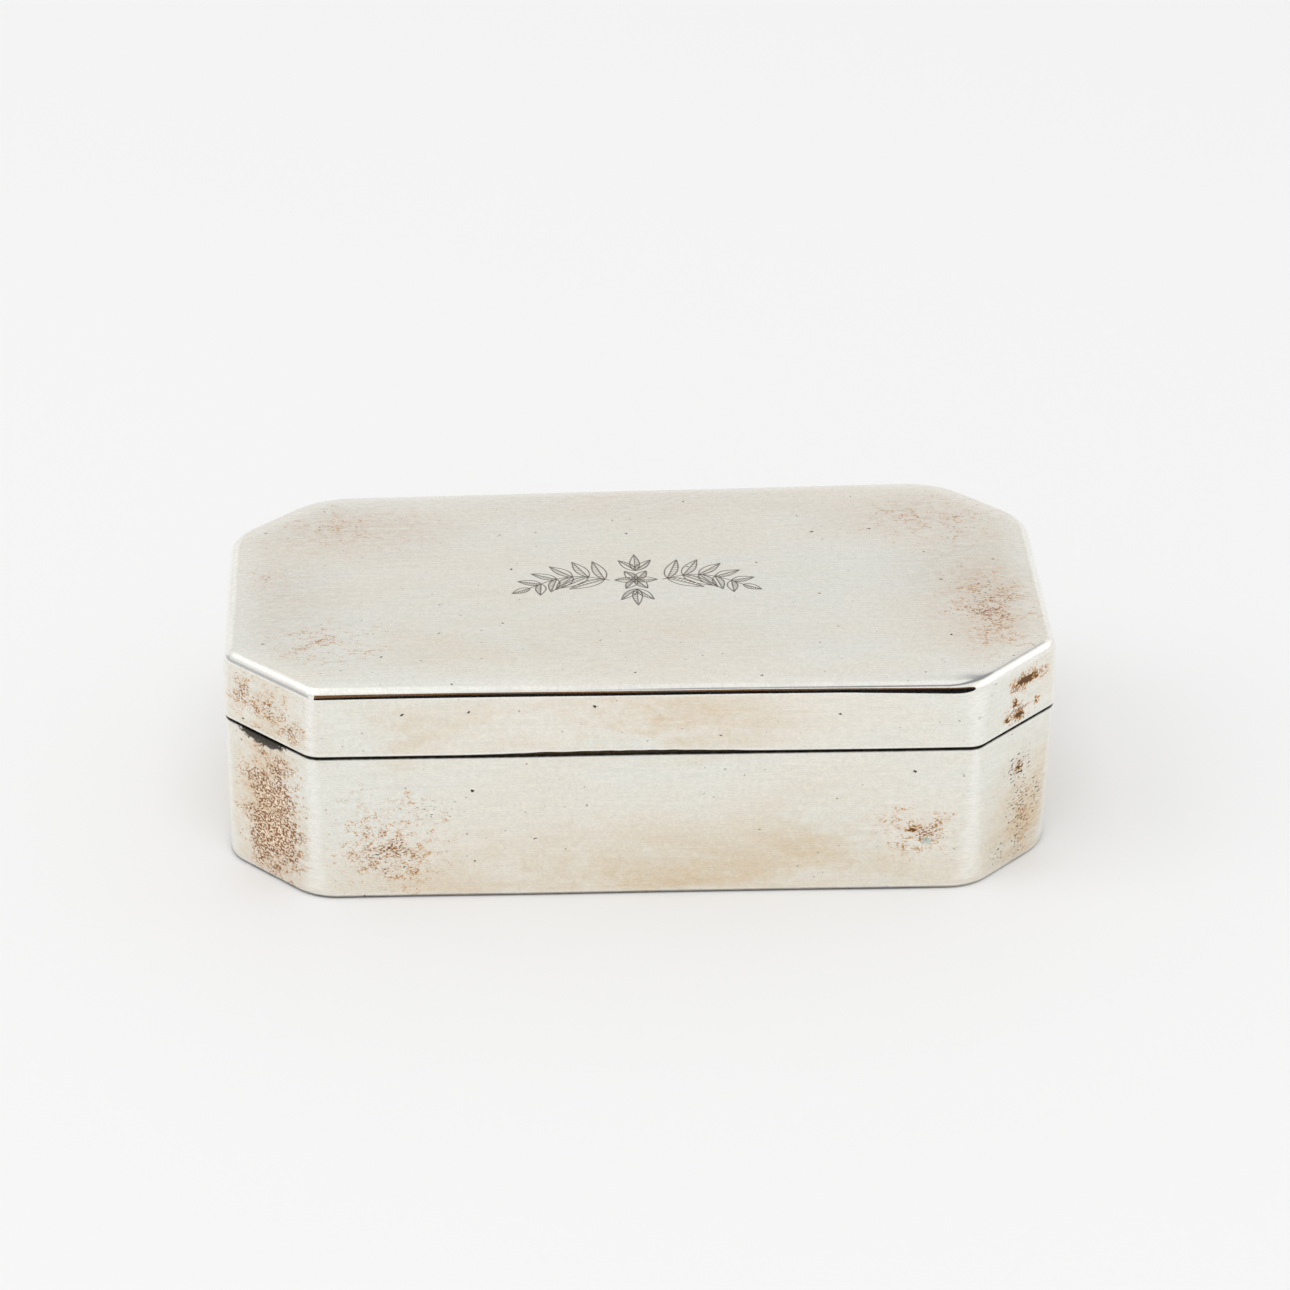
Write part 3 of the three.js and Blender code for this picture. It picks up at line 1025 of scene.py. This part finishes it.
def makeBezel():
    track = makeTrack(*bandSteps)
    outer = lidHalf[0] - bezelHigh[0]
    inner = outer + bezel["thickness"]
    rows = np.vstack([
        [[outer, share, 0] for share in bezel["outerShares"]],
        rimRows(outer, inner, bezel["round"]),
        [[inner, share, 0] for share in bezel["innerShares"]],
    ])
    # only the stations in front of the hinge, in order from one end to the other
    ahead = planPoint(outer, bezelHigh[2], track)[:, 1] < bezelHigh[1]
    start = int(np.argmax(ahead & ~np.roll(ahead, 1)))
    part = partOf(track, np.roll(np.arange(len(ahead)), -start)[np.roll(ahead, -start)])
    z = bezelLow[2] + rows[:, 1] * (bezelHigh[2] - bezelLow[2]) + rows[:, 2]
    level = z[:, None] + 0 * part["along"]
    points = raised(planPoint(rows[:, :1], level, part), level)
    index = numbered(level.shape)
    ends = index[:, :1].T, index[::-1, -1:].T
    faces = [(corners, 0) for corners in (ringQuads(index, True, False), *ends)]
    edge = np.concatenate([np.zeros(3), np.full(2 * roundRows, bezel["rimWear"]), np.zeros(2)])
    grime = np.append(bezel["outerShade"], np.zeros(len(rows) - 3))
    makePiece("baseBezel", "base", "base_bezel",
              points, faces, [gilt], {"edge": edge, "grime": grime})


makeLidRim()
makeBaseWall()
makeBasePlate()
makeBezel()
print("bands made")


# Hinge

knuckles = {
    "sides": 64,
    "bore": 0.6 * mm,
    "round": 0.07 * mm,  # worn ends
    "wear": 0.5,
    # the cants run where |X| + Y is this
    "cantLine": lidHalf.sum() - planShape["cant"] - overhang * math.sqrt(2),
}


# A tube about the hinge axis: a closed profile of radius and station, turned.
# Ends on a cant follow its slope.
def makeKnuckle(node):
    body, _, number = node.split("_")
    low, high = np.array(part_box(node))
    reach = knuckles["cantLine"] - (axisY + barrelRadius)
    bend, bore = knuckles["round"], knuckles["bore"]
    turns = np.linspace(0, quarter, roundRows)
    radius = np.concatenate([[bore], barrelRadius - bend + bend * np.sin(turns),
                             barrelRadius - bend + bend * np.cos(turns), [bore]])
    tuck = np.concatenate([[0], bend * (1 - np.cos(turns)), bend * (1 - np.sin(turns)), [0]])
    atEnd = np.arange(len(radius)) >= len(radius) // 2
    angle = np.linspace(0, 2 * math.pi, knuckles["sides"], endpoint=False)
    y = axisY + radius[:, None] * np.cos(angle)
    z = axisZ + radius[:, None] * np.sin(angle)
    onCant = knuckles["cantLine"] - y
    left = np.where(low[0] < -reach - bend, -onCant, low[0])
    right = np.where(high[0] > reach + bend, onCant, high[0])
    x = np.where(atEnd[:, None], right - tuck[:, None], left + tuck[:, None])
    wear = np.concatenate([[0], np.full(2 * roundRows, knuckles["wear"]), [0]])
    faces = [(ringQuads(numbered(x.shape), True), 0)]
    makePiece(f"{body}Knuckle{number}", body, node,
              np.stack([x, y, z], -1), faces, [hingeSilver], {"edge": wear})


for node in frame["nodes"]:
    if "_knuckle_" in node:
        makeKnuckle(node)
plainNodes = {"hinge_pin": steel, "pin_plug_left": hingeSilver, "pin_plug_right": hingeSilver,
              "base_joint_bearer": bearerGilt, "lid_joint_bearer": bearerGilt}
for node, finish in plainNodes.items():
    frame["nodes"][node].data.materials.clear()
    frame["nodes"][node].data.materials.append(finish)
print("hinge made")


# Stage

stageSetup = {"floorHalf": 4.0, "floorColour": (0.93, 0.93, 0.93, 1)}


def plainMaterial(name, colour, roughness, gloss):
    material = bpy.data.materials.new(name)
    material.use_nodes = True
    shader = material.node_tree.nodes["Principled BSDF"]
    shader.inputs["Base Color"].default_value = colour
    shader.inputs["Roughness"].default_value = roughness
    shader.inputs["Specular IOR Level"].default_value = gloss
    return material


def plainPiece(name, points, faces, material):
    mesh = bpy.data.meshes.new(name)
    mesh.from_pydata(points, [], faces)
    mesh.materials.append(material)
    piece = putInScene(name, mesh)
    return piece


def makeFloor():
    half = stageSetup["floorHalf"]
    points = [(-half, -half, 0), (half, -half, 0), (half, half, 0), (-half, half, 0)]
    paper = plainMaterial("paperFloor", stageSetup["floorColour"], 0.6, 0.15)
    plainPiece("floor", points, [(0, 1, 2, 3)], paper)


# Dark strips close to the front of the lid that only the metal mirrors, in its rounded edge
strips = {
    "turns": (256, 293),  # degrees round the plan, from the front left corner to the front right one
    "tilt": -0.08 * mm,  # follows the racked lid
    "stations": (0.0, 0.22, 0.8, 0.95),  # shares of the length where foot and top are given
    "rounded": 0.03,  # share of the length over which the right end closes
    "steps": (80, 4, 4, 48),
}
stripCuts = {  # heights in millimetres
    "blackStrip": {
        "away": 0.3 * mm,
        "foot": (21.72, 21.82, 21.82, 21.47),
        "top": (21.98, 22.37, 22.37, 22.32),
        "colour": (0.012, 0.01, 0.01, 1),
    },
    "brownStrip": {
        "away": 0.32 * mm,
        "foot": (21.7, 21.83, 21.83, 21.67),
        "top": (22.61, 22.87, 22.81, 22.61),
        "colour": (0.31, 0.165, 0.08, 1),
    },
}


# A strip stands upright beside the edge of the lid; its height closes as an ellipse at the right end
def makeStrips():
    track = makeTrack(*strips["steps"])
    first, last = (math.radians(turn) for turn in strips["turns"])
    part = partOf(track, (track["angle"] >= first) & (track["angle"] <= last))
    level = lidTop - lidPlate["edgeRadius"]
    drawn = flareInset(level) + wander(*planPoint(0.0, level, part).T, level)
    for name, strip in stripCuts.items():
        plan = planPoint(drawn - strip["away"], level, part)
        travelled = np.append(0, np.cumsum(np.hypot(*np.diff(plan, axis=0).T)))
        share = travelled / travelled[-1]
        foot, top = (np.interp(share, strips["stations"], np.array(strip[key]) * mm)
                     for key in ("foot", "top"))
        closing = np.sqrt(1 - np.clip((share - 1) / strips["rounded"] + 1, 0, 1) ** 2)
        lean = strips["tilt"] * plan[:, 0] / lidHalf[0]
        middle, half = (top + foot) / 2 + lean, (top - foot) / 2 * closing
        points = np.stack([raised(plan, middle + side * half) for side in (-1, 1)])
        quads = ringQuads(numbered(points.shape[:2]), False, False)[:, ::-1]
        piece = plainPiece(name, points.reshape(-1, 3).tolist(), quads.tolist(),
                           plainMaterial(name, strip["colour"], 0.9, 0.1))
        piece.visible_camera = piece.visible_diffuse = piece.visible_shadow = False


roomLook = {
    "fill": 0.7,  # its light on the floor
    "back": 0.84,  # where the metal mirrors it
    "rise": 0.06,  # how much brighter it is above and below the middle band
    "panel": 1.24,  # white panels on the left and the right
    "leftLean": 0.25,  # the left panel leans over with the height
    "gap": 0.28,  # shade between the panels
    "gapColour": (0.9, 0.91, 1.0, 1),
    "bow": (0.377, 0.357, -0.776),  # its line to the right: a start, and parts with back and back squared
    "lowShare": 0.6,  # of the shade low on the left
}


# A pale room: a white panel from overhead down to the left, another on the right,
# and shade between and below them. Its directions are shares to the right, to the back and up.
def makeWorld():
    world = bpy.data.worlds.new("studio")
    scene.world = world
    world.use_nodes = True
    bench["tree"] = world.node_tree
    bench["tree"].nodes.clear()
    look = roomLook
    paths = put("LightPath").outputs
    seen = larger(larger(paths["Is Camera Ray"], paths["Is Glossy Ray"]), paths["Is Transmission Ray"])
    right, back, up = axesOf(put("TexCoord").outputs["Generated"])
    leaning = calc("SUBTRACT", up, times(right, look["leftLean"]))
    leftPanel = times(ramp(leaning, 0.75, 0.94), ramp(right, 0.03, -0.09))
    rightPanel = times(ramp(right, 0.48, 0.84), ramp(up, 0.2, 0.52))
    # the shade between the panels bows over the box from the front to the back on the right
    start, slope, bend = look["bow"]
    bow = plus(times(back, slope), times(back, back, bend), start)
    beside = calc("ABSOLUTE", calc("SUBTRACT", right, bow))
    gap = times(ramp(beside, 0.17, 0.07), ramp(right, 0.0, 0.1), ramp(up, 0.66, 0.74))
    low = times(ramp(right, -0.72, -0.88), ramp(up, 0.46, 0.3), look["lowShare"])
    shade = larger(gap, low)
    panel = times(larger(leftPanel, rightPanel), look["panel"] - look["back"])
    rise = times(larger(ramp(up, 0.5, 0.62), ramp(up, 0.44, 0.3)), look["rise"])
    sky = plus(rise, look["back"], panel, times(shade, look["gap"] - look["back"]))
    dim = times(calc("SUBTRACT", 1.0, seen), look["fill"])
    strength = plus(times(seen, sky), dim)
    colour = blendColour(times(shade, seen), (1, 1, 1, 1), look["gapColour"])
    room = put("Background", {"Color": colour, "Strength": strength})
    put("OutputWorld", {"Surface": room.outputs[0]})


softboxes = {
    "leftTop": {"at": (-1.4, -0.4, 1.5), "size": 1.2, "power": 5.0},
    "frontTop": {"at": (0.0, -0.7, 2.1), "size": 1.6, "power": 13.2},
}


def makeLights():
    for name, box in softboxes.items():
        data = bpy.data.lights.new(name, "AREA")
        data.size = box["size"]
        data.energy = box["power"]
        lamp = putInScene(name, data)
        lamp.location = box["at"]
        lamp.rotation_euler = (-Vector(box["at"])).to_track_quat("-Z", "Y").to_euler()
        lamp.visible_glossy = False  # the metal mirrors the panels of the room instead


cameraSetup = {
    "aim": (0.93 * mm, 0.0, 15.72 * mm),
    "away": 448 * mm,
    "up": 28.6,  # degrees above the floor
    "turn": -2.87,  # degrees round from straight in front
    "roll": 0.53,
    "lens": 126.98,
    "film": 36.0,
    "near": 0.01,
    "far": 20,
}


def makeCamera():
    up, turn, roll = (math.radians(cameraSetup[key]) for key in ("up", "turn", "roll"))
    ahead = Vector((-math.sin(turn) * math.cos(up), math.cos(turn) * math.cos(up), -math.sin(up)))
    right = Vector((math.cos(turn), math.sin(turn), 0))
    above = right.cross(ahead)
    tilted = right * math.cos(roll) + above * math.sin(roll)
    upright = above * math.cos(roll) - right * math.sin(roll)
    place = Vector(cameraSetup["aim"]) - ahead * cameraSetup["away"]
    data = bpy.data.cameras.new("camera")
    data.sensor_width = cameraSetup["film"]
    data.lens = cameraSetup["lens"]
    data.clip_start = cameraSetup["near"]
    data.clip_end = cameraSetup["far"]
    camera = putInScene("camera", data)
    axes = Matrix((tilted, upright, -ahead)).transposed()
    camera.matrix_world = Matrix.Translation(place) @ axes.to_4x4()
    scene.camera = camera


makeFloor()
makeStrips()
makeWorld()
makeLights()
makeCamera()
print("stage set")
